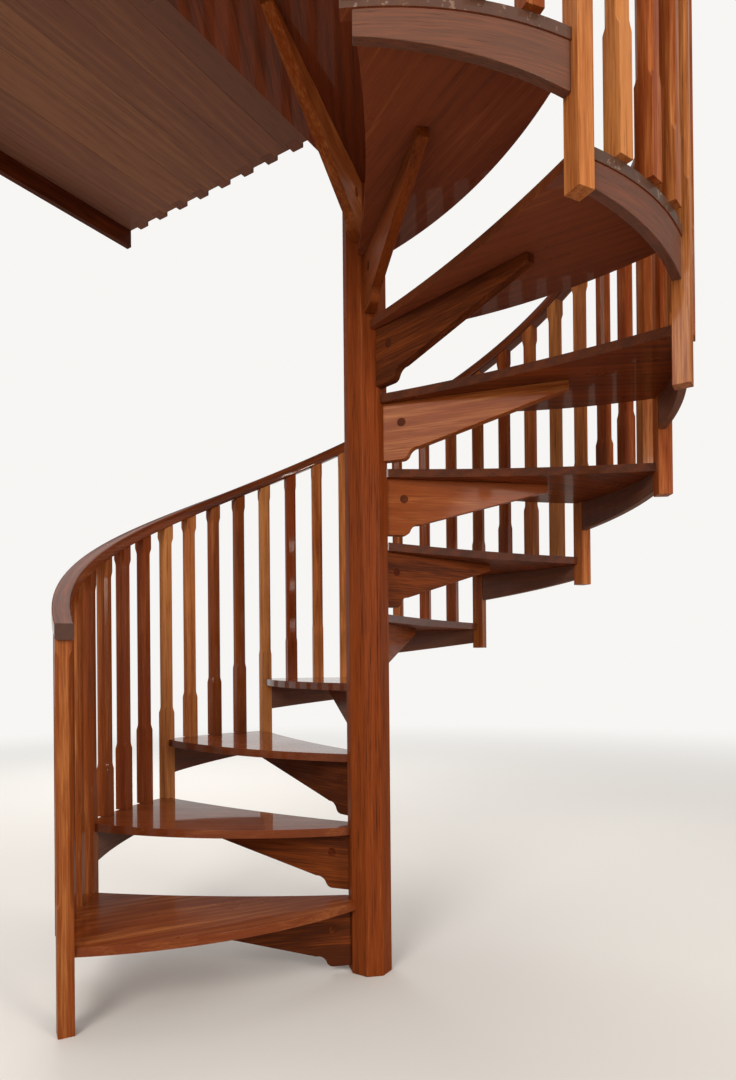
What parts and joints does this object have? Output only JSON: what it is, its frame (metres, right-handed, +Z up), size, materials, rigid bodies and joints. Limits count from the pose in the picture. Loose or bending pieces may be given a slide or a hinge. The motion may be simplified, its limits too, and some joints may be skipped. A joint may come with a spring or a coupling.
{
  "type": "spiral staircase",
  "caption": "Timber spiral staircase: octagonal newel post, bracketed winder treads with curved fascias, square chamfered balusters, helical handrail and a square quarter landing.",
  "frame": {"origin": "middle of the newel post's foot, on the lower floor", "axes": "+Z up along the newel post; the landing is the quarter with -X and -Y, its sides along X and Y; the flight climbs clockwise seen from above"},
  "size_m": [1.953, 1.953, 3.6],
  "materials": {
    "newel": "satin varnish",
    "tread": "gloss varnish",
    "bracket": "satin varnish",
    "plug": "satin varnish",
    "fascia": "satin varnish",
    "corner_baluster": "satin varnish",
    "baluster": "satin varnish",
    "handrail": "satin varnish",
    "landing": "satin varnish",
    "bearer": "satin varnish"
  },
  "bodies": {
    "root": {"newel_post": "newel", "tread_01": "tread", "tread_02": "tread", "tread_03": "tread", "tread_04": "tread", "tread_05": "tread", "tread_06": "tread", "tread_07": "tread", "tread_08": "tread", "tread_09": "tread", "tread_10": "tread", "tread_11": "tread", "bracket_01": "bracket", "bracket_02": "bracket", "bracket_03": "bracket", "bracket_04": "bracket", "bracket_05": "bracket", "bracket_06": "bracket", "bracket_07": "bracket", "bracket_08": "bracket", "bracket_09": "bracket", "bracket_10": "bracket", "bracket_11": "bracket", "bracket_plugs": "plug", "fascia_lower": "fascia", "fascia_middle": "fascia", "fascia_upper": "fascia", "corner_balusters_lower": "corner_baluster", "corner_balusters_middle": "corner_baluster", "corner_balusters_upper": "corner_baluster", "tread_balusters_lower": "baluster", "tread_balusters_middle": "baluster", "tread_balusters_upper": "baluster", "handrail": "handrail", "landing_boards": "landing", "landing_bearers": "bearer", "landing_balusters": "baluster", "landing_handrail": "handrail"}
  },
  "joints": []
}
